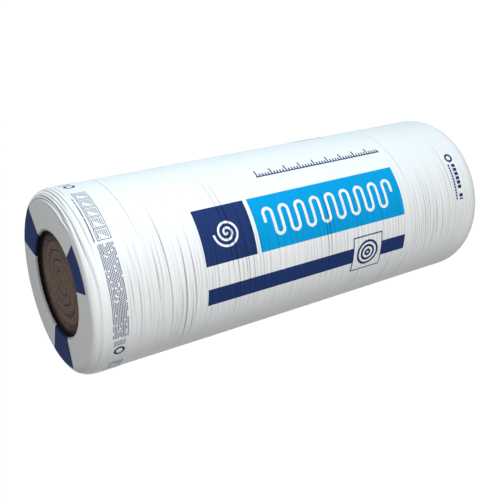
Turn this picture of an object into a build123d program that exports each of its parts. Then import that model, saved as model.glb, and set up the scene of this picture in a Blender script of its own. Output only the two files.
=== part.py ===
"""Glass wool insulation roll in a plastic film wrap, standing on one end.

The roll's axis runs along Z, and the origin is on the floor at that axis. The printed side
of the film faces -Y. Sizes are in millimetres.
"""

import os
from math import cos, radians, sin

from build123d import *

# Outside of the wrapped roll
roll_length = 1200.0
roll_diameter = 450.0

# Film sleeve: rounded shoulders, and a lip that slopes in to a round opening at each end
film_thickness = 1.2
film_clearance = 0.3
top_shoulder_radius = 28.0
bottom_shoulder_radius = 36.0
opening_diameter = 255.0
lip_width = 6.0
lip_depth = 4.0

# Wool: how far its wound face is sunk at each end, and the soft edge round that face
face_depth = 13.0
face_edge = 5.0

# Winding that shows on each end: one turn of blanket, and the slit between two turns
turn_thickness = 25.0
slit_width = 1.6
slit_depth = 2.5
first_turn_radius = 6.0

# How far the winding's join line is turned from +X towards +Y
winding_angle = 60.0

roll_radius = roll_diameter / 2
opening_radius = opening_diameter / 2
half_length = roll_length / 2
face_height = half_length - face_depth
wool_gap = film_thickness + film_clearance
roll_middle = (0, 0, half_length)
turning_plane = Plane(origin=roll_middle, x_dir=(1, 0, 0), z_dir=(0, -1, 0))
winding_direction = (cos(radians(winding_angle)), sin(radians(winding_angle)), 0)


def draw_end(side, shoulder_radius, inset, rounded):
    """Draw one end, from the edge of its opening over the lip, flat ring and shoulder.

    The side is 1 for the top and -1 for the bottom, and heights run from the roll's
    middle. The line lies inside the film's face by inset. A hidden one follows the
    shoulder in two straight steps. Returns the ends at the opening and at the barrel.
    """
    ring = half_length - inset
    edge = (opening_radius, side * (ring - lip_depth))
    ring_inner = (opening_radius + lip_width, side * ring)
    ring_outer = (roll_radius - shoulder_radius, side * ring)
    centre = Vector(roll_radius - shoulder_radius, side * (half_length - shoulder_radius))
    radius = shoulder_radius - inset
    barrel = (roll_radius - inset, centre.Y)
    Polyline(edge, ring_inner, ring_outer)
    if rounded:
        CenterArc(centre, radius, 45 * side - 45, 90)
    else:
        reach = radius * cos(radians(45))
        Polyline(ring_outer, (centre.X + reach, centre.Y + side * reach), barrel)
    return edge, barrel


def draw_roll(inset, rounded):
    """Draw both ends and the barrel between them. Returns the two edges at the openings."""
    bottom_edge, bottom_barrel = draw_end(-1, bottom_shoulder_radius, inset, rounded)
    top_edge, top_barrel = draw_end(1, top_shoulder_radius, inset, rounded)
    Line(bottom_barrel, top_barrel)
    return bottom_edge, top_edge


def draw_winding():
    """Draw the slit's line as half circles, each wider than the last by half a turn."""
    start = first_turn_radius
    radius = first_turn_radius
    side = -1
    while radius < opening_radius:
        end = start + side * 2 * radius
        ThreePointArc((0, start), (side * radius, (start + end) / 2), (0, end))
        start = end
        radius += turn_thickness / 2
        side = -side


# Wool blanket, wound tight with no core, with a sunk face at each end
with BuildPart() as wool_roll:
    with BuildSketch(turning_plane):
        with BuildLine():
            for side, edge in zip((-1, 1), draw_roll(wool_gap, rounded=False)):
                Polyline(
                    edge,
                    (opening_radius, side * (face_height + face_edge)),
                    (opening_radius - face_edge, side * face_height),
                    (0, side * face_height),
                )
            Line((0, -face_height), (0, face_height))
        make_face()
    revolve(axis=Axis.Z)
    for side in (-1, 1):
        face_plane = Plane(
            origin=(0, 0, half_length + side * face_height),
            x_dir=winding_direction,
            z_dir=(0, 0, -1),
        )
        with BuildSketch(face_plane):
            with BuildLine():
                draw_winding()
            trace(line_width=slit_width)
            Circle(opening_radius - face_edge - slit_width, mode=Mode.INTERSECT)
        extrude(amount=slit_depth, both=True, mode=Mode.SUBTRACT)

# Film sleeve, drawn over both ends of the wool
with BuildPart() as film_wrap:
    with BuildSketch(turning_plane):
        with BuildLine():
            outer_edges = draw_roll(0, rounded=True)
            inner_edges = draw_roll(film_thickness, rounded=False)
            for outer_edge, inner_edge in zip(outer_edges, inner_edges):
                Line(outer_edge, inner_edge)
        make_face()
    revolve(axis=Axis.Z)

os.makedirs("parts", exist_ok=True)
for name, piece in (("wool_roll", wool_roll), ("film_wrap", film_wrap)):
    piece.part.label = name
    export_step(piece.part, f"parts/{name}.step")
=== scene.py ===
"""Looks of the wrapped insulation roll: a printed film sleeve over wound glass wool.

All places are in metres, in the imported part's own frame: the roll stands on one end, with
its axis along Z. On the roll, a point is given by how far it lies down from the roll's
middle, its distance out from the axis, and its angle in degrees from the printed front, the
-Y side, towards -X. Print is laid out in millimetres of down and of arc round the barrel.
"""

import logging
import math
from dataclasses import dataclass, field
from enum import Enum

import bpy
import numpy as np
from mathutils import Euler, Matrix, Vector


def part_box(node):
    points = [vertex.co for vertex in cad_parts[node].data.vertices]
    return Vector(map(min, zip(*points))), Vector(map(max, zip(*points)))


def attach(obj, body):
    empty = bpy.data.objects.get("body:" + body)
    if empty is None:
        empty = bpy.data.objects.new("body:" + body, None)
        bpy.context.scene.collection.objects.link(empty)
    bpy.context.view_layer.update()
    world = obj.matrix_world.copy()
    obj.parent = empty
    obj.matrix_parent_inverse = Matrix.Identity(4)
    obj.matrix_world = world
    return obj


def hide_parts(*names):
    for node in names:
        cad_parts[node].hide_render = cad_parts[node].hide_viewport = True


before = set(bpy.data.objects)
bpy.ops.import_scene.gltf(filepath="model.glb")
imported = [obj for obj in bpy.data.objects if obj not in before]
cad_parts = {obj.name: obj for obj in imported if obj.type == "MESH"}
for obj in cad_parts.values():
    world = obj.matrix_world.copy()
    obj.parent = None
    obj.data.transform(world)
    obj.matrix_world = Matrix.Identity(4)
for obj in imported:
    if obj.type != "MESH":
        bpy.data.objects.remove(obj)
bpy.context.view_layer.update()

logger = logging.getLogger("insulation_roll")

MM = 0.001
TURN = 360.0
Colour = tuple[float, float, float]
Span = tuple[float, float]


class Ink(Enum):
    """The film's colours, as linear red, green and blue."""

    BARE = (0.885, 0.905, 0.912)
    NAVY = (0.018, 0.041, 0.150)
    SKY = (0.003, 0.348, 0.735)


class End(Enum):
    """The two ends of the roll, as the sign of down at each."""

    TOP = -1
    BOTTOM = 1


class Field:
    """A number that varies over a surface, as an output socket of a shader node."""

    def __init__(self, tree: bpy.types.NodeTree, socket: bpy.types.NodeSocket) -> None:
        """Keep the socket and the node tree that it belongs to."""
        self.tree = tree
        self.socket = socket

    def math(self, operation: str, *others: "Field | float") -> "Field":
        """Combine this field with others in one Math node.

        Args:
            operation: The Math node's operation.
            others: The second and third inputs, as fields or constants.

        Returns:
            The node's result.
        """
        node = self.tree.nodes.new("ShaderNodeMath")
        node.operation = operation
        for index, value in enumerate((self, *others)):
            if isinstance(value, Field):
                self.tree.links.new(value.socket, node.inputs[index])
            else:
                node.inputs[index].default_value = value
        return Field(self.tree, node.outputs[0])

    def __add__(self, other: "Field | float") -> "Field":
        """Add a field or a constant."""
        return self.math("ADD", other)

    def __sub__(self, other: "Field | float") -> "Field":
        """Take away a field or a constant."""
        return self.math("SUBTRACT", other)

    def __mul__(self, other: "Field | float") -> "Field":
        """Multiply by a field or a constant."""
        return self.math("MULTIPLY", other)

    def __truediv__(self, other: "Field | float") -> "Field":
        """Divide by a field or a constant."""
        return self.math("DIVIDE", other)

    def near(self, centre: float, reach: float) -> "Field":
        """Give 1 where this field lies within reach of centre, and 0 elsewhere."""
        return self.math("COMPARE", centre, reach)

    def above(self, level: "Field | float") -> "Field":
        """Give 1 where this field is over level, and 0 elsewhere."""
        return self.math("GREATER_THAN", level)

    def below(self, level: "Field | float") -> "Field":
        """Give 1 where this field is under level, and 0 elsewhere."""
        return self.math("LESS_THAN", level)

    def either(self, other: "Field | float") -> "Field":
        """Give the larger of two fields, which joins two masks."""
        return self.math("MAXIMUM", other)

    def size(self) -> "Field":
        """Give this field without its sign."""
        return self.math("ABSOLUTE")

    def fraction(self) -> "Field":
        """Give how far this field is past the whole number under it."""
        return self.math("FRACT")

    def length_with(self, other: "Field") -> "Field":
        """Give the length of the vector that this field and another make."""
        return (self * self + other * other).math("SQRT")

    def ramp(self, start: float, end: float, low: float = 0.0, high: float = 1.0) -> "Field":
        """Run smoothly from low to high as this field goes from start to end."""
        node = self.tree.nodes.new("ShaderNodeMapRange")
        node.interpolation_type = "SMOOTHSTEP"
        self.tree.links.new(self.socket, node.inputs["Value"])
        names = ("From Min", "From Max", "To Min", "To Max")
        for name, value in zip(names, (start, end, low, high)):
            node.inputs[name].default_value = value
        return Field(self.tree, node.outputs["Result"])


@dataclass(frozen=True)
class Grain:
    """Noise in a finish: its scale along three directions, its detail and its roughness."""

    scale: tuple[float, float, float]
    detail: float = 2.0
    rough: float = 0.5


class Shader:
    """A material's node tree, with short ways to make the nodes that the finishes use."""

    def __init__(self, name: str) -> None:
        """Make a node material with a Principled shader."""
        self.material = bpy.data.materials.new(name)
        self.material.use_nodes = True
        self.tree = self.material.node_tree
        self.surface = self.tree.nodes["Principled BSDF"]

    def link(self, source: "Field | bpy.types.NodeSocket", target: bpy.types.NodeSocket) -> None:
        """Link a field or socket to an input."""
        self.tree.links.new(source.socket if isinstance(source, Field) else source, target)

    def place(self) -> tuple[Field, Field, Field]:
        """Give the point's X, Y and Z in metres, from Object coordinates."""
        coordinate = self.tree.nodes.new("ShaderNodeTexCoord")
        split = self.tree.nodes.new("ShaderNodeSeparateXYZ")
        self.link(coordinate.outputs["Object"], split.inputs[0])
        return tuple(Field(self.tree, split.outputs[i]) for i in range(3))

    def attribute(self, name: str) -> Field:
        """Give a number that the mesh holds at its points."""
        node = self.tree.nodes.new("ShaderNodeAttribute")
        node.attribute_name = name
        return Field(self.tree, node.outputs["Fac"])

    def vector(self, *parts: "Field | float") -> bpy.types.NodeSocket:
        """Join three fields or constants into a vector."""
        node = self.tree.nodes.new("ShaderNodeCombineXYZ")
        for index, value in enumerate(parts):
            if isinstance(value, Field):
                self.link(value, node.inputs[index])
            else:
                node.inputs[index].default_value = value
        return node.outputs[0]

    def noise(self, parts: tuple[Field, Field, Field], grain: Grain) -> Field:
        """Give smooth noise from 0 to 1 over three fields, each times the grain's scale."""
        node = self.tree.nodes.new("ShaderNodeTexNoise")
        scaled = [part * scale for part, scale in zip(parts, grain.scale)]
        self.link(self.vector(*scaled), node.inputs["Vector"])
        node.inputs["Scale"].default_value = 1.0
        node.inputs["Detail"].default_value = grain.detail
        node.inputs["Roughness"].default_value = grain.rough
        return Field(self.tree, node.outputs["Fac"])

    def chance(self, vector: bpy.types.NodeSocket) -> Field:
        """Give a random number from 0 to 1 for each value of the vector."""
        node = self.tree.nodes.new("ShaderNodeTexWhiteNoise")
        self.link(vector, node.inputs["Vector"])
        return Field(self.tree, node.outputs["Value"])

    def colour(self, colour: Colour) -> bpy.types.NodeSocket:
        """Give a colour as a socket, as the base of a mix that changes over the surface."""
        node = self.tree.nodes.new("ShaderNodeRGB")
        node.outputs[0].default_value = (*colour, 1.0)
        return node.outputs[0]

    def mix(
        self, share: Field, first: bpy.types.NodeSocket, second: "Colour | bpy.types.NodeSocket"
    ) -> bpy.types.NodeSocket:
        """Mix two colours, from the first at share 0 to the second at share 1."""
        node = self.tree.nodes.new("ShaderNodeMix")
        node.data_type = "RGBA"
        self.link(share, node.inputs[0])
        self.link(first, node.inputs[6])
        if isinstance(second, tuple):
            node.inputs[7].default_value = (*second, 1.0)
        else:
            self.link(second, node.inputs[7])
        return node.outputs[2]

    def shade(self, colour: bpy.types.NodeSocket, share: Field) -> bpy.types.NodeSocket:
        """Darken a colour towards black by share."""
        return self.mix(share, colour, (0.0, 0.0, 0.0))

    def bump(self, height: Field, distance: float, strength: float) -> None:
        """Let a height times distance, in metres, tilt the surface's normal."""
        node = self.tree.nodes.new("ShaderNodeBump")
        node.inputs["Strength"].default_value = strength
        node.inputs["Distance"].default_value = distance
        self.link(height, node.inputs["Height"])
        self.link(node.outputs[0], self.surface.inputs["Normal"])

    def constants(self, **values: float) -> None:
        """Set the Principled shader's own sockets, named with _ for a space."""
        for name, value in values.items():
            self.surface.inputs[name.replace("_", " ")].default_value = value


def grid_object(
    name: str, points: np.ndarray, closed_rows: bool, material: bpy.types.Material
) -> bpy.types.Object:
    """Make a mesh object from a grid of points whose last column joins its first.

    Args:
        name: The object's name.
        points: Places in metres, shaped rows, columns, 3.
        closed_rows: Whether the last row joins the first. Otherwise the first and the last
            row are each closed with one face.
        material: The object's material.

    Returns:
        The object, linked to the scene, with smooth faces.
    """
    rows, columns = points.shape[:2]
    first = np.arange(rows if closed_rows else rows - 1)[:, None]
    second = np.arange(columns)[None, :]
    next_first = (first + 1) % rows
    next_second = (second + 1) % columns
    corners = [
        first * columns + second,
        first * columns + next_second,
        next_first * columns + next_second,
        next_first * columns + second,
    ]
    faces = np.stack(corners, axis=-1).reshape(-1, 4).tolist()
    if not closed_rows:
        faces.append(list(range(columns))[::-1])
        faces.append(list(range((rows - 1) * columns, rows * columns)))
    mesh = bpy.data.meshes.new(name)
    mesh.from_pydata(points.reshape(-1, 3), [], faces)
    mesh.polygons.foreach_set("use_smooth", np.ones(len(mesh.polygons), dtype=bool))
    mesh.materials.append(material)
    thing = bpy.data.objects.new(name, mesh)
    bpy.context.collection.objects.link(thing)
    return thing


def store(thing: bpy.types.Object, name: str, values: np.ndarray) -> None:
    """Store one number for each of an object's points, for its material to read."""
    layer = thing.data.attributes.new(name, "FLOAT", "POINT")
    layer.data.foreach_set("value", values.astype(np.float32).ravel())


def bell(distance: np.ndarray, width: "float | np.ndarray") -> np.ndarray:
    """Give a bell curve: e to the minus half of (distance over width) squared."""
    return np.exp(-0.5 * (distance / width) ** 2)


def ease(value: np.ndarray, start: float, end: float) -> np.ndarray:
    """Run smoothly from 0 at start to 1 at end: 3 t squared less 2 t cubed."""
    share = np.clip((value - start) / (end - start), 0, 1)
    return share * share * (3 - 2 * share)


def turn_gap(angle: np.ndarray, centre: float) -> np.ndarray:
    """Give the signed angle from centre to angle, from -180 to 180 degrees."""
    return (angle - centre + TURN / 2) % TURN - TURN / 2


@dataclass(frozen=True)
class RollForm:
    """The roll's sizes in metres: radius and half length from the frame, and its ends."""

    radius: float
    half_length: float
    opening_radius: float = 127.6 * MM
    lip_width: float = 9.0 * MM
    lip_depth: float = 4.0 * MM
    face_depth: float = 13.0 * MM
    shoulder_length: dict[End, float] = field(
        default_factory=lambda: {End.TOP: 33.0 * MM, End.BOTTOM: 44.0 * MM}
    )
    shoulder_height: dict[End, float] = field(
        default_factory=lambda: {End.TOP: 25.0 * MM, End.BOTTOM: 30.0 * MM}
    )

    @classmethod
    def from_frame(cls) -> "RollForm":
        """Read the roll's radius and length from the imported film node."""
        low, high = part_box("film_wrap")
        return cls(radius=(high[1] - low[1]) / 2, half_length=(high[2] - low[2]) / 2)

    def put(self, down: np.ndarray, out: np.ndarray, angle: np.ndarray) -> np.ndarray:
        """Place points by down, out and angle.

        A point lies at minus out times the angle's sine along X, minus out times its cosine
        along Y, and down below half the roll's length along Z.

        Args:
            down: Distance below the roll's middle in metres.
            out: Distance from the roll's axis in metres.
            angle: Angle from the front towards -X, in degrees.

        Returns:
            The points, with a last axis of 3.
        """
        turned = np.radians(angle)
        parts = np.broadcast_arrays(
            -out * np.sin(turned), -out * np.cos(turned), self.half_length - down
        )
        return np.stack(parts, axis=-1)


@dataclass(frozen=True)
class Fold:
    """One fold of the film, which runs round the roll for a while.

    All lengths are in millimetres. The line of the fold passes through down at angle, leans
    by lean for each degree and bends by bend for each degree squared. Its side towards the
    top end is steeper than the other by the factor steep.
    """

    down: float
    angle: float
    reach: float
    width: float
    height: float
    lean: float = 0.0
    bend: float = 0.0
    steep: float = 0.4

    def rise(self, down: np.ndarray, angle: np.ndarray) -> np.ndarray:
        """Give the fold's height in millimetres over a grid of down and angle.

        The height is a bell across the fold's line times a smooth cosine window along it,
        which falls to 0 at reach degrees from the middle.
        """
        gap = turn_gap(angle, self.angle)
        window = np.cos(np.clip(gap / self.reach, -1, 1) * np.pi / 2) ** 2
        across = down - self.down - self.lean * gap - self.bend * gap * gap
        width = self.width * np.where(across < 0, self.steep, 1.0)
        return self.height * window * bell(across, width)


@dataclass(frozen=True)
class CreaseRun:
    """A run of nearly parallel creases, which follow each other along the whole barrel.

    They centre near angle, give or take spread, in degrees. Share is how deep they are
    beside those of the front.
    """

    angle: float
    spread: float
    share: float


@dataclass(frozen=True)
class LooseBand:
    """A band of loose film: its middle and width, and how loose the film is there.

    A band along the roll is in millimetres, and one round it in degrees.
    """

    middle: float
    width: float
    share: float


@dataclass(frozen=True)
class FoldKind:
    """How many folds a kind has and how they vary.

    Reach, width and steep are drawn evenly from a span. Lean and bend are drawn from a bell
    curve round 0, and given by its spread.
    """

    count: int
    reach: Span
    width: Span
    lean: float
    bend: float = 0.0
    steep: Span = (1.0, 1.0)


@dataclass(frozen=True)
class FoldMaker:
    """Draws the film's folds: many fine ones from a seeded source, and a few listed."""

    seed: int = 11
    crease: FoldKind = FoldKind(118, (22.0, 50.0), (0.9, 1.5), 0.012, 0.0005, (0.6, 1.0))
    swell: FoldKind = FoldKind(40, (28.0, 60.0), (5.0, 12.0), 0.12)
    gather: FoldKind = FoldKind(110, (14.0, 50.0), (1.1, 2.2), 0.10, 0.0015, (0.5, 1.0))
    first_crease: float = -545.0
    crease_step: Span = (5.0, 13.5)
    crease_depth: float = 0.36
    deepest_crease: float = 1.4
    shared_lean: float = 0.05
    lean_wave: float = 90.0
    swell_place: Span = (-530.0, 530.0)
    swell_height: Span = (-0.5, 0.5)
    tight_swell: float = 0.2
    gather_place: Span = (-2.0, 62.0)
    gather_height: Span = (0.4, 1.3)
    valley_or_ridge: Span = (-1.3, 0.7)
    knot: LooseBand = LooseBand(-60.0, 38.0, 0.6)
    far_from_knot: float = 0.22
    tight_along: float = 0.3
    loose_bands: tuple[LooseBand, ...] = (
        LooseBand(-425.0, 95.0, 1.0),
        LooseBand(430.0, 95.0, 0.6),
        LooseBand(-185.0, 60.0, 0.8),
        LooseBand(75.0, 85.0, 0.8),
    )
    tight_round: float = 0.05
    loose_sides: tuple[LooseBand, ...] = (
        LooseBand(20.0, 19.0, 0.95),
        LooseBand(160.0, 55.0, 0.40),
    )
    runs: tuple[CreaseRun, ...] = (
        CreaseRun(21.0, 8.0, 1.0),
        CreaseRun(30.0, 11.0, 0.9),
        CreaseRun(12.0, 9.0, 0.5),
        CreaseRun(-48.0, 18.0, 0.07),
        CreaseRun(86.0, 14.0, 0.25),
        CreaseRun(150.0, 24.0, 0.6),
        CreaseRun(-135.0, 26.0, 0.45),
    )

    def loose_along(self, down: np.ndarray) -> np.ndarray:
        """Give how loose the film is along the roll, as a share of the loosest.

        It is loosest in a band below the top end's print, then in two across the panel, and
        then in one past it. Where bands overlap, the looser one counts.
        """
        loose = [band.share * bell(down - band.middle, band.width) for band in self.loose_bands]
        return self.tight_along + (1 - self.tight_along) * np.max(loose, axis=0)

    def slack(self, down: np.ndarray, angle: np.ndarray) -> np.ndarray:
        """Give how loose the film is, from 0 to 1: most on the front's left, then behind."""
        sides = [
            side.share * bell(turn_gap(angle, side.middle), side.width)
            for side in self.loose_sides
        ]
        return np.clip((self.tight_round + sum(sides)) * self.loose_along(down), 0, 1)

    def fine(self, random: np.random.Generator) -> list[Fold]:
        """Give the fine creases round the barrel, run by run.

        Each crease is a valley that lies a random step past the last one. It leans as its
        neighbours do, by a slow sine of its place, and its depth is a random one times the
        run's share and how loose the film is there.
        """
        kind, count = self.crease, self.crease.count
        folds: list[Fold] = []
        for run in self.runs:
            down = self.first_crease + np.cumsum(random.uniform(*self.crease_step, count))
            depth = self.crease_depth + random.exponential(self.crease_depth, count)
            depth = depth.clip(0, self.deepest_crease)
            shared_lean = self.shared_lean * np.sin(down / self.lean_wave + run.angle)
            columns = (
                down,
                random.normal(run.angle, run.spread, count),
                random.uniform(*kind.reach, count),
                random.uniform(*kind.width, count),
                -depth * run.share * self.loose_along(down),
                shared_lean + random.normal(0, kind.lean, count),
                random.normal(0, kind.bend, count),
                random.uniform(*kind.steep, count),
            )
            folds += [Fold(*row) for row in np.stack(columns, axis=1)]
        return folds

    def soft(self, random: np.random.Generator) -> list[Fold]:
        """Give the wider, softer swells, which follow how loose the film is."""
        kind, count = self.swell, self.swell.count
        down = random.uniform(*self.swell_place, count)
        angle = random.uniform(-TURN / 2, TURN / 2, count)
        share = self.tight_swell + self.slack(down, angle)
        columns = (
            down,
            angle,
            random.uniform(*kind.reach, count),
            random.uniform(*kind.width, count),
            random.uniform(*self.swell_height, count) * share,
            random.normal(0, kind.lean, count),
        )
        return [Fold(*row) for row in np.stack(columns, axis=1)]

    def long_creases(self) -> list[Fold]:
        """Give the few long creases that cross the front."""
        rows = (
            (-236, 2, 60, 1.3, -1.4, 0.10, 0.0006),
            (-250, 0, 66, 1.3, -1.2, 0.12, 0.0008),
            (-205, 10, 50, 1.3, -1.1, 0.08, 0.0),
            (-190, 22, 40, 1.3, -1.1, 0.03, 0.0),
            (-470, -40, 60, 1.5, -0.8, 0.16, 0.002),
            (-415, 10, 54, 2.2, -1.6, 0.08, -0.001),
            (-398, 35, 46, 2.4, 1.6, -0.05, -0.001),
            (-376, 32, 50, 2.0, -1.9, -0.03, 0.0),
            (-352, 20, 46, 1.6, -1.3, 0.05, 0.0005),
            (330, -20, 58, 1.5, -0.7, 0.22, 0.002),
            (352, 16, 36, 1.5, -0.8, 0.16, 0.004),
            (372, 16, 40, 2.2, 0.8, 0.10, 0.003),
            (388, 20, 40, 1.6, -0.8, 0.10, 0.003),
            (404, 30, 36, 2.2, 0.8, -0.18, -0.002),
            (150, 52, 36, 1.6, -0.7, -0.3, 0.0),
            (255, 58, 36, 1.6, -0.8, -0.45, 0.0),
            (318, 60, 34, 1.6, -0.8, -0.5, 0.0),
        )
        return [Fold(*row) for row in rows]

    def gathers(self, random: np.random.Generator) -> list[Fold]:
        """Give the gathers over the top shoulder: many thin ones, and a few listed.

        Their down counts along the film from the outer edge of the flat ring. The thin ones
        are highest and narrowest near the knot, at the right of the front.
        """
        rows = (
            (1, -58, 50, 1.7, 1.5, 0.06, 0.0, 1.0),
            (5, -66, 44, 1.0, -1.4, 0.09, 0.0, 1.0),
            (11, -52, 50, 1.2, -1.7, 0.02, 0.0, 1.0),
            (15, -60, 58, 1.6, 1.3, 0.05, 0.0, 0.8),
            (19, -48, 60, 1.1, -1.6, 0.08, 0.0, 1.0),
            (26, -62, 48, 1.0, -1.1, -0.02, 0.0, 1.0),
            (29, -54, 50, 1.6, 1.1, 0.03, 0.0, 0.7),
            (34, -52, 48, 1.1, -1.2, 0.05, 0.0, 0.8),
            (43, -48, 46, 1.1, -0.9, 0.02, 0.0, 0.7),
            (50, -42, 48, 1.2, -0.7, 0.0, 0.0, 0.6),
            (59, -38, 48, 1.3, -0.6, 0.0, 0.0, 0.6),
            (2, -36, 12, 3.0, 2.2, 0.50, 0.0, 0.7),
            (8, -31, 14, 1.4, -2.0, 0.55, 0.0, 1.0),
            (14, -22, 22, 1.5, 1.3, 0.40, 0.0, 1.0),
            (22, -10, 26, 1.4, -0.9, 0.25, 0.0, 1.0),
            (12, 38, 46, 7.0, 0.7, 0.10, 0.0, 1.0),
            (27, 46, 48, 7.5, -0.6, 0.05, 0.0, 1.0),
            (41, 50, 46, 7.0, 0.5, 0.0, 0.0, 1.0),
        )
        kind, count = self.gather, self.gather.count
        angle = random.uniform(-TURN / 2, TURN / 2, count)
        near_knot = bell(turn_gap(angle, self.knot.middle), self.knot.width)
        share = self.far_from_knot + self.knot.share * near_knot
        columns = (
            random.uniform(*self.gather_place, count),
            angle,
            random.uniform(*kind.reach, count),
            random.uniform(*kind.width, count) * (2.0 - near_knot),
            random.uniform(*self.gather_height, count)
            * random.choice(self.valley_or_ridge, count)
            * share,
            random.normal(0, kind.lean, count),
            random.normal(0, kind.bend, count),
            random.uniform(*kind.steep, count),
        )
        by_chance = [Fold(*row) for row in np.stack(columns, axis=1)]
        return by_chance + [Fold(*row) for row in rows]


@dataclass
class FilmSleeve:
    """The film drawn over the roll: one closed skin, its print and its folds."""

    form: RollForm
    folds: FoldMaker = field(default_factory=FoldMaker)
    columns: int = 100
    barrel_rows: int = 860
    hem_rows: int = 2
    lip_rows: int = 5
    ring_rows: int = 15
    shoulder_rows: int = 38
    wall: float = 1.0 * MM
    hem: float = 1.5 * MM
    hem_flare: float = 0.25
    # Rows of an end's line that the inner line follows, each with how many walls it lies
    # deeper in there, and how many farther out
    inner_rows: tuple[tuple[int, int, int], ...] = (
        (0, 0, 1),
        (2, 1, 1),
        (7, 2, 0),
        (13, 3, 0),
        (22, 3, 0),
        (36, 3, -2),
        (48, 2, -4),
        (59, 0, -4),
    )
    # Downs in millimetres over which the creases fade at both ends, and all folds at the floor
    crease_fade: Span = (548.0, 574.0)
    floor_fade: Span = (560.0, 592.0)
    hollow_rows: int = 5
    hollow_depth: float = 0.9 * MM
    ring_edge: Span = (28.0 * MM, 22.0 * MM)
    name: str = "printed_film"

    def end_line(self, end: End) -> tuple[np.ndarray, np.ndarray]:
        """Give one end's outer line, from inside the opening out to the barrel.

        It is a straight hem, a quarter ellipse for the lip, the flat ring, and a quarter
        ellipse for the shoulder, worked out as depth in from the end and distance out.

        Args:
            end: Which end of the roll.

        Returns:
            Down and out in metres.
        """
        form = self.form
        length, height = form.shoulder_length[end], form.shoulder_height[end]
        ring_in, ring_out = form.opening_radius + form.lip_width, form.radius - height
        quarter = np.radians(np.linspace(0, 90, self.lip_rows, endpoint=False))
        turn = np.radians(np.linspace(0, 90, self.shoulder_rows))
        hem = np.linspace(self.hem, 0, self.hem_rows, endpoint=False)
        ring = np.linspace(ring_in, ring_out, self.ring_rows, endpoint=False)
        depth = np.concatenate(
            [
                form.lip_depth + hem,
                form.lip_depth * (1 - np.sin(quarter)),
                0 * ring,
                length * (1 - np.cos(turn)),
            ]
        )
        out = np.concatenate(
            [
                form.opening_radius + self.hem_flare * hem,
                ring_in - form.lip_width * np.cos(quarter),
                ring,
                ring_out + height * np.sin(turn),
            ]
        )
        return end.value * (form.half_length - depth), out

    def outer_line(self) -> tuple[np.ndarray, np.ndarray]:
        """Join the top end's line, the barrel and the bottom end's line."""
        top_down, top_out = self.end_line(End.TOP)
        bottom_down, bottom_out = self.end_line(End.BOTTOM)
        barrel = np.linspace(top_down[-1], bottom_down[-1], self.barrel_rows)[1:-1]
        down = np.concatenate([top_down, barrel, bottom_down[::-1]])
        out = np.concatenate([top_out, np.full_like(barrel, self.form.radius), bottom_out[::-1]])
        return down, out

    def inner_line(self) -> tuple[np.ndarray, np.ndarray]:
        """Give the skin's hidden inner line, a coarse copy of the outer one set inwards."""
        picks, deeper, farther = np.array(self.inner_rows).T
        downs, outs = [], []
        for end in (End.BOTTOM, End.TOP):
            down, out = self.end_line(end)
            order = slice(None, None, end.value)
            downs.append((down[picks] - end.value * self.wall * deeper)[order])
            outs.append((out[picks] + self.wall * farther)[order])
        return np.concatenate(downs), np.concatenate(outs)

    def relief(self, down: np.ndarray, out: np.ndarray, angle: np.ndarray) -> np.ndarray:
        """Add up the folds' heights, in metres, over the outer skin's grid.

        A barrel fold is worked out on the rows that it reaches, up to four widths from its
        line. A gather's place counts as travel along the skin from the top ring's edge.
        """
        random = np.random.default_rng(self.folds.seed)
        down_grid, angle_grid = np.meshgrid(down / MM, angle, indexing="ij")
        height = np.zeros(down_grid.shape)
        folds = self.folds.fine(random) + self.folds.soft(random) + self.folds.long_creases()
        for fold in folds:
            sweep = abs(fold.lean) * fold.reach + abs(fold.bend) * fold.reach**2
            rows = np.abs(down / MM - fold.down) < 4 * fold.width + sweep
            height[rows] += fold.rise(down_grid[rows], angle_grid[rows])
        height *= 1 - ease(np.abs(down_grid), *self.crease_fade)
        travel = np.concatenate([[0.0], np.cumsum(np.hypot(np.diff(down), np.diff(out)))])
        ring_end = self.hem_rows + self.lip_rows + self.ring_rows
        from_ring = (travel - travel[ring_end]) / MM
        from_ring = np.broadcast_to(from_ring[:, None], down_grid.shape)
        for fold in self.folds.gathers(random):
            height += fold.rise(from_ring, angle_grid)
        return height * (1 - ease(down_grid, *self.floor_fade)) * MM

    def hollows(self, height: np.ndarray, out: np.ndarray) -> np.ndarray:
        """Give how far each point lies under the mean of its neighbours along the roll.

        The mean is a running one over hollow_rows to each side. The result goes from 0 to 1
        as the point lies from 0 to hollow_depth under it. The flat rings get none, as their
        rows are far apart. The film's material paints shade into the hollows by this share.
        """
        past_ring = ease(out, *(self.form.radius - edge for edge in self.ring_edge))
        reach, width = self.hollow_rows, 2 * self.hollow_rows
        padded = np.pad(height, ((reach, reach), (0, 0)), mode="edge")
        total = np.cumsum(padded, axis=0)
        mean = (total[width:] - np.pad(total, ((1, 0), (0, 0)))[: -width - 1]) / (width + 1)
        return np.clip((mean - height) / self.hollow_depth, 0, 1) * past_ring[:, None]

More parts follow.
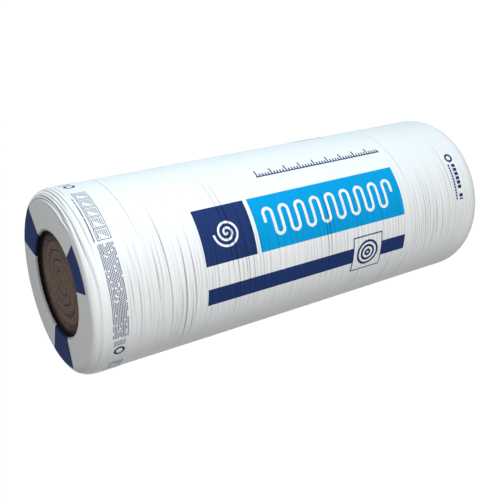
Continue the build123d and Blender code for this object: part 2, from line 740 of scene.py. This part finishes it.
    def build(self) -> bpy.types.Object:
        """Build the skin as a closed profile carried round the axis.

        Each outer point moves along the profile's own normal by the folds' height there.

        Returns:
            The film's object.
        """
        down, out = self.outer_line()
        angle = np.arange(self.columns) * TURN / self.columns
        height = self.relief(down, out, angle)
        slope_down, slope_out = np.gradient(down), np.gradient(out)
        size = np.hypot(slope_down, slope_out)
        outer_down = down[:, None] - (slope_out / size)[:, None] * height
        outer_out = out[:, None] + (slope_down / size)[:, None] * height
        inner_down, inner_out = self.inner_line()
        shape = (len(inner_down), self.columns)
        all_down = np.concatenate([outer_down, np.broadcast_to(inner_down[:, None], shape)])
        all_out = np.concatenate([outer_out, np.broadcast_to(inner_out[:, None], shape)])
        points = self.form.put(all_down, all_out, angle[None, :])
        film = grid_object(self.name, points, True, FilmFinish(self.form).material())
        slack = self.folds.slack(down[:, None] / MM, angle[None, :])
        hidden = np.zeros(shape)
        store(film, "hollow", np.concatenate([self.hollows(height, out), hidden]))
        store(film, "slack", np.concatenate([slack, hidden]))
        return film


@dataclass(frozen=True)
class Mark:
    """A printed shape on the barrel, a box of down and arc unless a kind says otherwise."""

    ink: Ink
    down: Span
    arc: Span

    @property
    def middle(self) -> Span:
        """Give the middle of the shape's box."""
        return (sum(self.down) / 2, sum(self.arc) / 2)

    @property
    def reach(self) -> Span:
        """Give half the length and half the breadth of the shape's box."""
        return ((self.down[1] - self.down[0]) / 2, (self.arc[1] - self.arc[0]) / 2)

    def box(self, down: Field, arc: Field) -> Field:
        """Give 1 inside the shape's box."""
        (middle_down, middle_arc), (reach_down, reach_arc) = self.middle, self.reach
        return down.near(middle_down, reach_down) * arc.near(middle_arc, reach_arc)

    def mask(self, shader: Shader, down: Field, arc: Field) -> Field:
        """Give 1 where the shape is printed."""
        return self.box(down, arc)


@dataclass(frozen=True)
class Meander(Mark):
    """A line that turns to and fro, the way wool is drawn in a section.

    Its box runs along the roll from the middle of the first leg to that of the last.
    """

    leg: float = 24.0
    stroke: float = 8.0
    sliver: float = 0.001

    def mask(self, shader: Shader, down: Field, arc: Field) -> Field:
        """Give 1 on a meander of straight legs joined by half circles.

        The box is cut into cells one leg's spacing long. In each, the half circle is at one
        side for even cells and at the other for odd ones. A point's distance from the line
        is its distance from the circle's middle, counted past the straight legs, less the
        circle's radius. Past the first and the last leg, how far past is added to it. A
        sliver keeps the box's ends inside the first and the last cell.
        """
        radius = self.leg / 2
        low, high = self.down[0] + self.sliver, self.down[1] - self.sliver
        inside = down.either(low).math("MINIMUM", high)
        cell = (inside - self.down[0]) / self.leg
        odd = (cell / 2.0).fraction().above(0.5)
        beside = ((cell.fraction() - 0.5) * self.leg).size()
        across = (arc - self.middle[1]) * (odd * -2.0 + 1.0)
        past = (across.size() - (self.reach[1] - radius)).either(0.0)
        on_far_side = across.below(0.0)
        outwards = on_far_side * -2.0 + 1.0
        sideways = beside + (beside * -2.0 + self.leg) * on_far_side
        sideways = sideways + (down - inside).size() * outwards
        away = (sideways.length_with(past) - radius).size()
        return away.below(self.stroke / 2)


@dataclass(frozen=True)
class Ring(Mark):
    """A round ring, or a disc where the stroke reaches the middle."""

    stroke: float = 5.0

    def mask(self, shader: Shader, down: Field, arc: Field) -> Field:
        """Give 1 where the distance from the middle is within half the stroke of the ring."""
        away = polar(down, arc, self.middle)[0]
        return away.near(self.reach[0] - self.stroke / 2, self.stroke / 2)


@dataclass(frozen=True)
class Winding(Mark):
    """A spiral line of whole turns, as the end of a roll is drawn."""

    turns: int = 3
    stroke: float = 5.0

    def mask(self, shader: Shader, down: Field, arc: Field) -> Field:
        """Give 1 where distance over pitch, less the turn, is near half past a whole number.

        The pitch is the reach over the turns, and the line stops after them.
        """
        pitch = self.reach[0] / self.turns
        away, turn = polar(down, arc, self.middle)
        phase = away / pitch - turn + 0.5
        return phase.fraction().near(0.5, self.stroke / 2 / pitch) * phase.below(self.turns)


@dataclass(frozen=True)
class Bars(Mark):
    """Rows of short broken bars that stand in for fine print, running along the arc."""

    rows: int = 10
    bar: float = 6.0
    filled: float = 0.7
    weight: float = 0.55

    def mask(self, shader: Shader, down: Field, arc: Field) -> Field:
        """Give 1 on the bars: each row is cut into cells, and a random share is inked."""
        row = (down - self.down[0]) / ((self.down[1] - self.down[0]) / self.rows)
        number = row.math("FLOOR")
        shifted = (arc - self.arc[0]) / self.bar + number * 0.37
        inked = shader.chance(shader.vector(number, shifted.math("FLOOR"), self.down[0]))
        in_row = row.fraction().near(0.5, self.weight / 2)
        in_cell = shifted.fraction().near(0.5, 0.38)
        return self.box(down, arc) * inked.below(self.filled) * in_row * in_cell


@dataclass(frozen=True)
class Scale(Mark):
    """A plain measuring scale: a base line with short and long ticks along the roll."""

    step: float = 9.0
    tick: float = 4.2
    every: int = 5

    def mask(self, shader: Shader, down: Field, arc: Field) -> Field:
        """Give 1 on the base line and on the ticks, of which each fifth is full height."""
        place = (down - self.down[0]) / self.step
        tick = place.fraction().near(0.5, self.tick / self.step / 2)
        tall = (place.math("FLOOR") / self.every).fraction().below(0.5 / self.every)
        low = arc.above(self.middle[1])
        base = arc.above(self.arc[1] - self.tick)
        return self.box(down, arc) * (tick * low.either(tall)).either(base)


@dataclass(frozen=True)
class Hatch(Mark):
    """Even slanting lines in a box."""

    pitch: float = 8.0
    stroke: float = 3.0
    lean: float = 1.0

    def mask(self, shader: Shader, down: Field, arc: Field) -> Field:
        """Give 1 where down plus the leaning arc, in pitches, is near a whole number."""
        phase = ((down + arc * self.lean) / self.pitch).fraction()
        return self.box(down, arc) * phase.near(0.5, self.stroke / self.pitch / 2)


def polar(down: Field, arc: Field, middle: Span) -> tuple[Field, Field]:
    """Give the distance from a point and the turn round it, from -0.5 to 0.5."""
    across, along = down - middle[0], arc - middle[1]
    return across.length_with(along), along.math("ARCTAN2", across) / (2 * math.pi)


def about(middle: float, reach: float) -> Span:
    """Give the span that reaches equally far to both sides of its middle."""
    return (middle - reach, middle + reach)


def framed(ink: Ink, down: Span, arc: Span, line: float) -> list[Mark]:
    """Give a framed box: an inked box with a bare one inside it."""
    inner_down, inner_arc = (down[0] + line, down[1] - line), (arc[0] + line, arc[1] - line)
    return [Mark(ink, down, arc), Mark(Ink.BARE, inner_down, inner_arc)]


@dataclass(frozen=True)
class PrintLayout:
    """Where the plain printed shapes lie. The film repeats them three times round."""

    repeats: int = 3
    length: Span = (-320.0, 301.0)
    band: Span = (-70.6, 65.4)
    stripe: Span = (121.4, 164.4)
    strip: Span = (-561.0, -522.0)
    split: float = -178.0
    gap: float = 11.0
    leg: float = 24.0
    legs: int = 15
    spiral_reach: float = 42.0
    wave_reach: float = 34.0
    rings_down: float = 168.0
    frame_reach: float = 50.0
    ring_reaches: tuple[float, ...] = (36.0, 23.0, 10.0)
    signs: int = 5
    first_sign: float = -204.6
    sign_pitch: float = 31.0
    sign_breadth: float = 29.0
    sign_margin: float = 4.0

    def panel(self) -> list[Mark]:
        """Give the navy block with its spiral, and the sky-blue one with its meander."""
        low, high = self.length
        middle = sum(self.band) / 2
        navy = (low, self.split)
        sky = (self.split + self.gap, high)
        spiral = about(sum(navy) / 2, self.spiral_reach), about(middle, self.spiral_reach)
        wave = about(sum(sky) / 2, self.legs * self.leg / 2), about(middle, self.wave_reach)
        return [
            Mark(Ink.NAVY, navy, self.band),
            Mark(Ink.SKY, sky, self.band),
            Winding(Ink.BARE, *spiral, turns=3, stroke=5.8),
            Meander(Ink.BARE, *wave, leg=self.leg),
        ]

    def lower_stripe(self) -> list[Mark]:
        """Give the navy stripe, and the framed rings that interrupt it."""
        down, middle = self.rings_down, sum(self.stripe) / 2
        frame_box = about(down, self.frame_reach), about(middle, self.frame_reach)
        rings = [
            Ring(Ink.NAVY, about(down, reach), about(middle, reach), 6.5)
            for reach in self.ring_reaches
        ]
        stripe = Mark(Ink.NAVY, self.length, self.stripe)
        return [stripe, *framed(Ink.NAVY, *frame_box, 3.4), *rings]

    def fine_strip(self) -> list[Mark]:
        """Give the strip of framed signs and fine bars near the top end."""
        marks: list[Mark] = []
        low, high = self.strip
        for index in range(self.signs):
            start = self.first_sign + index * self.sign_pitch
            end = start + self.sign_breadth
            marks += framed(Ink.NAVY, (low + 5.0, high), (start, end), 1.6)
            inner = (start + self.sign_margin, end - self.sign_margin)
            marks.append(Bars(Ink.NAVY, (low + 8.5, high - 3.5), inner, 6, 5.0))
        marks.append(Bars(Ink.NAVY, (low - 4.0, low + 0.5), (-185.6, -50.6), 1, 4.0, 0.85, 0.8))
        marks.append(Bars(Ink.NAVY, (low, high), (-43.6, 178.4), 10, 4.8, 0.93, 0.64))
        marks.append(Hatch(Ink.NAVY, (low + 4.0, high - 6.0), (186.4, 202.4), 10.0, 4.0, 1.2))
        marks.append(Ring(Ink.NAVY, (low + 7.0, high - 5.0), (207.4, 234.4), 5.5))
        return marks

    def small_marks(self) -> list[Mark]:
        """Give the measuring scale, and the ring with its bars near the bottom end."""
        return [
            Scale(Ink.NAVY, (-104.0, 301.0), (-149.6, -125.6)),
            Ring(Ink.NAVY, (504.0, 531.0), (-71.6, -44.6), 6.5),
            Bars(Ink.NAVY, (515.0, 529.0), (-39.6, 66.4), 1, 12.5, 0.95, 0.92),
            Bars(Ink.NAVY, (501.5, 508.5), (-39.6, 66.4), 1, 8.0, 0.95, 0.9),
        ]

    def marks(self) -> list[Mark]:
        """Give every mark in the order that it is printed."""
        return [*self.panel(), *self.lower_stripe(), *self.fine_strip(), *self.small_marks()]


@dataclass(frozen=True)
class EndPatch:
    """A navy patch on each end, from the opening out to a radius in millimetres."""

    angle: float
    out: float
    reach: float = 17.4


@dataclass(frozen=True)
class Crease:
    """A set of fine creases: their noise and its width, how dark their painted shade is, and how
    deep they are.
    """

    grain: Grain
    width: float
    dark: float
    deep: float


@dataclass(frozen=True)
class FilmFinish:
    """White polyethylene film: faint gloss, print, creases too fine for the mesh, and painted
    shade in folds.
    """

    form: RollForm
    roughness: float = 0.62
    specular: float = 0.04
    hollow_shade: float = 0.62
    lip_shade: float = 0.62
    lip_reach: float = 8.0
    patch_depth: float = 34.0
    long_crease: Crease = Crease(Grain((6.5, 6.5, 78.0), 1.0, 0.4), 0.060, 0.07, 0.25)
    short_crease: Crease = Crease(Grain((9.0, 9.0, 160.0), 1.0, 0.4), 0.085, 0.06, 0.20)
    crease_patches: Grain = Grain((6.0, 6.0, 17.0))
    streak: Grain = Grain((12.0, 12.0, 330.0), 3.0, 0.55)
    speckle: Grain = Grain((900.0, 900.0, 900.0), 2.0, 0.6)
    patches: tuple[EndPatch, ...] = (
        EndPatch(-120.0, 222.0),
        EndPatch(-1.2, 190.0),
        EndPatch(119.0, 204.0),
    )

    def printed(self, shader: Shader, x: Field, y: Field, z: Field) -> bpy.types.NodeSocket:
        """Paint the layout on the barrel and the navy patches on each end.

        Shade is painted on the film where it turns in to the opening.
        """
        layout = PrintLayout()
        turn = (x * -1.0).math("ARCTAN2", y * -1.0)
        down = (z * -1.0 + self.form.half_length) * (1 / MM)
        period = 2 * math.pi * self.form.radius / MM / layout.repeats
        arc = turn * (self.form.radius / MM)
        arc = (arc + period / 2).math("FLOORED_MODULO", period) - period / 2
        colour = shader.colour(Ink.BARE.value)
        for mark in layout.marks():
            colour = shader.mix(mark.mask(shader, down, arc), colour, mark.ink.value)
        out = x.length_with(y) * (1 / MM)
        degrees = turn * (TURN / 2 / math.pi)
        at_end = down.size().above(self.form.half_length / MM - self.patch_depth)
        for patch in self.patches:
            gap = (degrees - patch.angle + TURN / 2).math("FLOORED_MODULO", TURN)
            mask = gap.near(TURN / 2, patch.reach) * out.below(patch.out) * at_end
            colour = shader.mix(mask, colour, Ink.NAVY.value)
        opening = self.form.opening_radius / MM
        # Painted shade on the lip, where the film turns in to the opening.
        lip = out.ramp(opening, opening + self.lip_reach, self.lip_shade, 0.0)
        return shader.shade(colour, lip * at_end)

    def material(self) -> bpy.types.Material:
        """Make the film's material."""
        shader = Shader("printed_film")
        place = shader.place()
        slack = shader.attribute("slack")
        long = self.creases(shader, place, self.long_crease)
        short = self.creases(shader, place, self.short_crease)
        colour = self.printed(shader, *place)
        # Painted shade: the colour darkens where the film lies in a fold's hollow.
        colour = shader.shade(colour, shader.attribute("hollow") * self.hollow_shade)
        # Painted shade along the fine crease lines, stronger where the film is looser.
        dark = (long * self.long_crease.dark).either(short * self.short_crease.dark)
        colour = shader.shade(colour, dark * slack)
        shader.link(colour, shader.surface.inputs["Base Color"])
        shader.constants(Roughness=self.roughness, IOR=1.45, Specular_IOR_Level=self.specular)
        deep = long * self.long_crease.deep + short * self.short_crease.deep
        height = (shader.noise(place, self.streak) * 0.35 - deep) * slack
        shader.bump(height + shader.noise(place, self.speckle) * 0.05, 1.0 * MM, 0.8)
        return shader.material

    def creases(
        self, shader: Shader, place: tuple[Field, Field, Field], crease: Crease
    ) -> Field:
        """Give 1 on thin lines that run round the roll, in patches.

        The lines are where noise, drawn out round the roll, passes through its middle.
        """
        off_middle = (shader.noise(place, crease.grain) - 0.5).size()
        patches = shader.noise(place, self.crease_patches).ramp(0.42, 0.60)
        return off_middle.ramp(0.0, crease.width, 1.0, 0.0) * patches


@dataclass(frozen=True)
class Waves:
    """Random waves over a face of the wool: turns for each metre, height and seed."""

    pitch: float
    height: float
    seed: int


@dataclass
class WoolBlanket:
    """The wound wool: two relief faces in the film's openings and a plain hidden barrel."""

    form: RollForm
    turn_thickness: float = 25.0 * MM
    first_turn: float = 6.0 * MM
    winding_angle: float = 60.0
    crown: float = 1.6 * MM
    notch_depth: float = 2.2 * MM
    notch_width: float = 0.035
    slit_width: float = 0.05
    middle_depth: float = 1.5 * MM
    middle_width: float = 6.0 * MM
    face_drop: float = 1.0 * MM
    wall_gap: float = 2.2 * MM
    edge_gap: float = 0.4 * MM
    wobble: Waves = Waves(14.0, 2.2 * MM, 3)
    lumps: Waves = Waves(60.0, 0.7 * MM, 9)
    fibres: Waves = Waves(260.0, 0.22 * MM, 15)
    columns: int = 288
    rings: int = 110
    name: str = "wound_wool"

    def winding(self, across: np.ndarray, up: np.ndarray) -> np.ndarray:
        """Give the winding's phase, which is whole on the slit between two turns.

        The slit is a spiral of half circles: on one side they centre on the axis, and on
        the other half a turn's thickness from it.

        Args:
            across: Distance from the axis square to the winding's join line, in metres.
            up: Distance from the axis along the join line, in metres.

        Returns:
            The number of turns out from the first one.
        """
        step = self.turn_thickness
        front = (np.hypot(across, up) - self.first_turn) / step
        back = (np.hypot(across, up - step / 2) - self.first_turn - step / 2) / step
        return np.where(across > 0, front, back)

    def turned(self, out: np.ndarray, angle: np.ndarray) -> tuple[np.ndarray, np.ndarray]:
        """Give a point's distances across and up the winding's join line."""
        turned = np.radians(angle + self.winding_angle)
        return out * np.sin(turned), out * np.cos(turned)

    def offset(self, out: np.ndarray, angle: np.ndarray, end: End) -> np.ndarray:
        """Give how far a point is from the nearest slit, as a share of a turn's thickness.

        The winding wobbles: its distance out is shifted by slow waves.
        """
        across, up = self.turned(out, angle)
        wobble = self.waved(across, up, self.wobble, end)
        phase = self.winding(across, up) + wobble / self.turn_thickness
        return np.abs(phase - np.round(phase))

    def face_relief(self, out: np.ndarray, angle: np.ndarray, end: End) -> np.ndarray:
        """Give how far the face stands out of its mean plane, in metres.

        Each turn is crowned between its slits: the crown goes as the square root of the
        offset. A slit is a narrow bell-shaped notch, the middle is a wide one, and two sets
        of waves make the wool lumpy.
        """
        across, up = self.turned(out, angle)
        offset = self.offset(out, angle, end)
        crown = self.crown * np.sqrt(np.clip(offset * 2, 0, 1))
        notch = self.notch_depth * bell(offset, self.notch_width)
        middle = self.middle_depth * bell(out, self.middle_width)
        lumps = self.waved(across, up, self.lumps, end)
        fibres = self.waved(across, up, self.fibres, end)
        return crown - notch - middle + lumps + fibres

    def waved(self, across: np.ndarray, up: np.ndarray, waves: Waves, end: End) -> np.ndarray:
        """Add up twelve sine waves in random directions and near the pitch.

        Args:
            across: Distance from the axis square to the winding's join line, in metres.
            up: Distance from the axis along the join line, in metres.
            waves: Their pitch, height and seed.
            end: The end of the roll, which has waves of its own.

        Returns:
            The sum in metres, with a sixth of the waves' height for each.
        """
        random = np.random.default_rng(waves.seed + end.value)
        total = np.zeros(np.broadcast(across, up).shape)
        for _ in range(12):
            heading, phase = random.uniform(0, 2 * np.pi, 2)
            rate = 2 * np.pi * waves.pitch * random.uniform(0.6, 1.5)
            total += np.sin(rate * (across * np.cos(heading) + up * np.sin(heading)) + phase)
        return total / 6 * waves.height

    def build(self) -> bpy.types.Object:
        """Build the blanket as rings: one face from its middle, the barrel, the other face.

        Six rings at each end, hidden under the film, lead from the face to the barrel.

        Returns:
            The wool's object.
        """
        form = self.form
        angle = np.arange(self.columns)[None, :] * TURN / self.columns
        wall = form.opening_radius + self.wall_gap
        face_out = np.linspace(self.edge_gap, wall - self.edge_gap, self.rings)[:, None]
        side_out = np.array([wall, wall, wall + 6 * MM, form.radius - 34 * MM])
        side_out = np.concatenate([side_out, form.radius - np.array([9.0, 5.5]) * MM])[:, None]
        side_depth = np.array([[12.0], [6.0], [4.5], [4.5], [20.0], [48.0]]) * MM
        rows, slits = [], []
        for end in End:
            relief = self.face_relief(face_out, angle, end)
            slit = bell(self.offset(face_out, angle, end), self.slit_width)
            slit = np.concatenate([slit, np.zeros((len(side_out), self.columns))])
            slits.append(slit if end is End.TOP else slit[::-1])
            face_height = form.half_length - form.face_depth - self.face_drop + relief
            face = form.put(end.value * face_height, face_out, angle)
            side = form.put(end.value * (form.half_length - side_depth), side_out, angle)
            both = np.concatenate([face, side])
            rows.append(both if end is End.TOP else both[::-1])
        wool = grid_object(self.name, np.concatenate(rows), False, WoolFinish().material())
        store(wool, "slit", np.concatenate(slits))
        return wool


@dataclass(frozen=True)
class WoolFinish:
    """Brown glass wool: streaks along the turns, pale fibres, and painted shade in the slits and
    the deep rim.
    """

    brown: Colour = (0.212, 0.145, 0.116)
    dark: Colour = (0.122, 0.089, 0.075)
    pale: Colour = (0.290, 0.213, 0.174)
    warp: Grain = Grain((30.0, 30.0, 20.0))
    warp_reach: float = 12.0 * MM
    streak: Grain = Grain((230.0, 30.0, 30.0), 4.0, 0.62)
    clump: Grain = Grain((70.0, 70.0, 70.0), 4.0, 0.6)
    fibre: Grain = Grain((700.0, 700.0, 900.0), 3.0, 0.7)
    slit_shade: float = 0.52
    # Radii over which the painted shade deepens towards the rim
    rim: Span = (98.0 * MM, 127.0 * MM)
    rim_shade: float = 0.985

    def material(self) -> bpy.types.Material:
        """Make the wool's material.

        The streaks follow the distance from the axis, shifted by slow noise.
        """
        shader = Shader("brown_glass_wool")
        x, y, z = place = shader.place()
        out = x.length_with(y)
        ring = out + shader.noise(place, self.warp) * self.warp_reach
        streaks = shader.noise((ring, x, y), self.streak)
        clumps = shader.noise(place, self.clump)
        fibres = shader.noise(place, self.fibre)
        colour = shader.mix(streaks.ramp(0.34, 0.62), shader.colour(self.dark), self.brown)
        light = (clumps * 0.6 + fibres * 0.5).ramp(0.52, 0.72, 0.0, 0.6)
        colour = shader.mix(light, colour, self.pale)
        # Painted shade in the slits between the wound turns.
        colour = shader.shade(colour, shader.attribute("slit") * self.slit_shade)
        # Painted shade, deepening over the rim next to the film's opening.
        colour = shader.shade(colour, out.ramp(*self.rim, 0.0, self.rim_shade))
        shader.link(colour, shader.surface.inputs["Base Color"])
        shader.constants(Roughness=0.95, Specular_IOR_Level=0.15)
        shader.bump(streaks * 0.6 + fibres * 0.5 + clumps, 1.4 * MM, 0.9)
        return shader.material


@dataclass(frozen=True)
class Softbox:
    """A soft lamp that stands round the roll and faces its middle."""

    name: str
    angle: float
    level: float
    distance: float = 3.0
    width: float = 1.6
    height: float = 1.1
    lift: float = 0.0
    colour: Colour = (1.0, 1.0, 1.0)

    def build(self, middle: float) -> bpy.types.Object:
        """Place the lamp, at a power that lights a facing surface by level.

        The power is pi squared times the level times the squared distance to the middle,
        which is distance squared plus lift squared.

        Args:
            middle: The height of the roll's middle, which the lamp is lifted over.

        Returns:
            The lamp.
        """
        turned = math.radians(self.angle)
        light = bpy.data.lights.new(self.name, "AREA")
        light.shape = "RECTANGLE"
        light.size, light.size_y = self.width, self.height
        light.energy = math.pi**2 * self.level * (self.distance**2 + self.lift**2)
        light.color = self.colour
        lamp = bpy.data.objects.new(self.name, light)
        lamp.location = (
            -self.distance * math.sin(turned),
            -self.distance * math.cos(turned),
            middle + self.lift,
        )
        tilt = math.atan2(self.lift, self.distance)
        lamp.rotation_euler = (math.pi / 2 - tilt, 0, -turned)
        bpy.context.collection.objects.link(lamp)
        return lamp


@dataclass(frozen=True)
class Studio:
    """The plain pale floor, the soft lights and the camera."""

    form: RollForm
    azimuth: float = -4.5035
    elevation: float = 32.1811
    roll: float = -104.2515
    distance: float = 2.20444
    focal_pixels: float = 808.23
    image_pixels: float = 500.0
    centre_pixel: Span = (266.75, 231.04)
    sensor: float = 36.0
    sky: float = 0.22
    floor_albedo: float = 0.30
    floor_glow: float = 0.935
    softboxes: tuple[Softbox, ...] = (
        Softbox("key_softbox", -20.0, 0.52, lift=1.6),
        Softbox("right_softbox", -70.0, 0.47, colour=(0.66, 0.88, 0.98)),
        Softbox("left_softbox", 25.0, 0.29),
        Softbox("back_softbox", 160.0, 0.45),
    )

    def camera(self) -> bpy.types.Object:
        """Place the camera so that the roll's middle falls on centre_pixel of the image.

        The photograph shows the roll lying down. The camera keeps its place beside the roll
        and so is rolled over here, where the roll stands.
        """
        turn, rise = math.radians(self.azimuth), math.radians(self.elevation)
        back = np.array(
            [math.sin(turn) * math.cos(rise), -math.cos(turn) * math.cos(rise), math.sin(rise)]
        )
        lens = bpy.data.cameras.new("camera")
        lens.sensor_width = self.sensor
        lens.lens = self.focal_pixels / self.image_pixels * self.sensor
        half = self.image_pixels / 2
        lens.shift_x = -(self.centre_pixel[0] - half) / self.image_pixels
        lens.shift_y = (self.centre_pixel[1] - half) / self.image_pixels
        lens.dof.use_dof = False
        camera = bpy.data.objects.new("camera", lens)
        camera.location = back * self.distance + np.array([0, 0, self.form.half_length])
        level = Euler((math.pi / 2 - rise, 0, turn)).to_matrix()
        rolled = Matrix.Rotation(math.radians(self.roll), 3, "Z")
        camera.rotation_euler = (level @ rolled).to_euler()
        bpy.context.collection.objects.link(camera)
        bpy.context.scene.camera = camera
        return camera

    def seen_directly(self, tree: bpy.types.NodeTree) -> Field:
        """Give 1 for rays from the camera, a mirror or clear glass, and 0 for others."""
        paths = tree.nodes.new("ShaderNodeLightPath")
        names = ("Is Camera Ray", "Is Glossy Ray", "Is Transmission Ray")
        camera, glossy, through = (Field(tree, paths.outputs[name]) for name in names)
        return camera.either(glossy).either(through)

    def world(self) -> None:
        """Give a dim even sky that shows as white behind the roll."""
        world = bpy.data.worlds.new("soft_sky")
        world.use_nodes = True
        bpy.context.scene.world = world
        tree = world.node_tree
        strength = self.seen_directly(tree) * (1.0 - self.sky) + self.sky
        background = tree.nodes["Background"]
        background.inputs["Color"].default_value = (1.0, 1.0, 1.0, 1.0)
        tree.links.new(strength.socket, background.inputs["Strength"])

    def floor(self) -> bpy.types.Object:
        """Lay the pale floor: it keeps the roll's soft shadow, and glows white to the camera."""
        reach = 60.0
        corners = [(-reach, -reach, 0), (reach, -reach, 0), (reach, reach, 0), (-reach, reach, 0)]
        mesh = bpy.data.meshes.new("floor")
        mesh.from_pydata(corners, [], [(0, 1, 2, 3)])
        floor = bpy.data.objects.new("floor", mesh)
        bpy.context.collection.objects.link(floor)
        shader = Shader("pale_floor")
        albedo = self.floor_albedo
        shader.surface.inputs["Base Color"].default_value = (albedo, albedo, albedo, 1.0)
        shader.constants(Roughness=1.0, Specular_IOR_Level=0.0)
        shader.surface.inputs["Emission Color"].default_value = (1.0, 1.0, 1.0, 1.0)
        glow = self.seen_directly(shader.tree) * self.floor_glow
        shader.link(glow, shader.surface.inputs["Emission Strength"])
        mesh.materials.append(shader.material)
        return floor

    def build(self) -> None:
        """Set up the whole studio."""
        self.camera()
        self.world()
        self.floor()
        for softbox in self.softboxes:
            softbox.build(self.form.half_length)
        bpy.context.scene.view_settings.view_transform = "Standard"


def main() -> None:
    """Build the roll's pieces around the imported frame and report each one."""
    logging.basicConfig(level=logging.INFO, format="%(name)s: %(message)s")
    form = RollForm.from_frame()
    Studio(form).build()
    film = FilmSleeve(form).build()
    wool = WoolBlanket(form).build()
    for piece, node, slot in ((film, "film_wrap", "film"), (wool, "wool_roll", "wool")):
        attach(piece, "root")
        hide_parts(node)
        logger.info("%s: %d faces", piece.name, len(piece.data.polygons))


if __name__ == "__main__":
    main()
